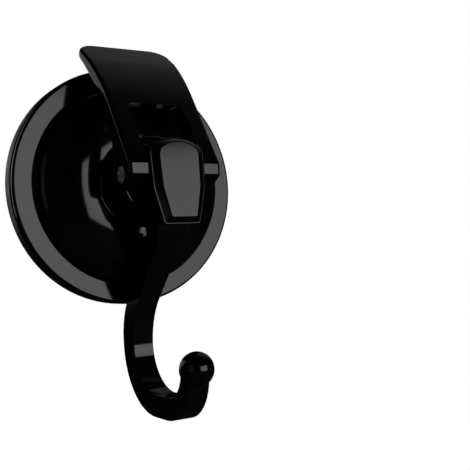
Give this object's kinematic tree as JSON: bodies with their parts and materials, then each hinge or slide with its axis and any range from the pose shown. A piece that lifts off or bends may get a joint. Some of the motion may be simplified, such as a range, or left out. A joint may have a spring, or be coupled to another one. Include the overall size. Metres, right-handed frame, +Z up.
{
  "type": "suction cup hook",
  "caption": "Suction cup hook with a round housing, a cam lever that pulls the cup tight, and a curved hook that ends in a ball.",
  "frame": {"origin": "middle of the cup's suction face, on the plane of the wall", "axes": "+Z up the wall, +Y into the wall (the object faces -Y), +X to the right as seen from the front"},
  "size_m": [0.06, 0.0401, 0.092],
  "materials": {
    "soft_cup": "smooth, slightly dull black",
    "housing_plastic": "high-gloss black",
    "stud_plastic": "plain black",
    "pin_steel": "matt, grained end faces",
    "lever_plastic": "high-gloss black",
    "hook_plastic": "high-gloss black"
  },
  "bodies": {
    "base": {"suction_cup": "soft_cup", "housing": "housing_plastic", "hook": "hook_plastic"},
    "stud": {"cup_stud": "stud_plastic", "pivot_pin": "pin_steel"},
    "lever": {"lever": "lever_plastic"}
  },
  "joints": [
    {"name": "stud_lift", "type": "slide", "parent": "base", "child": "stud", "axis": [0, 1, 0], "range_m": [0, 0.00173], "deforming": ["suction_cup"]},
    {"name": "lever_pivot", "type": "hinge", "parent": "stud", "child": "lever", "pos_m": [0, -0.0272, 0], "axis": [1, 0, 0], "range_deg": [0, 120]}
  ],
  "couplings": [
    {"joint": "stud_lift", "follows": "lever_pivot", "m_per_rad": 0.000825}
  ]
}
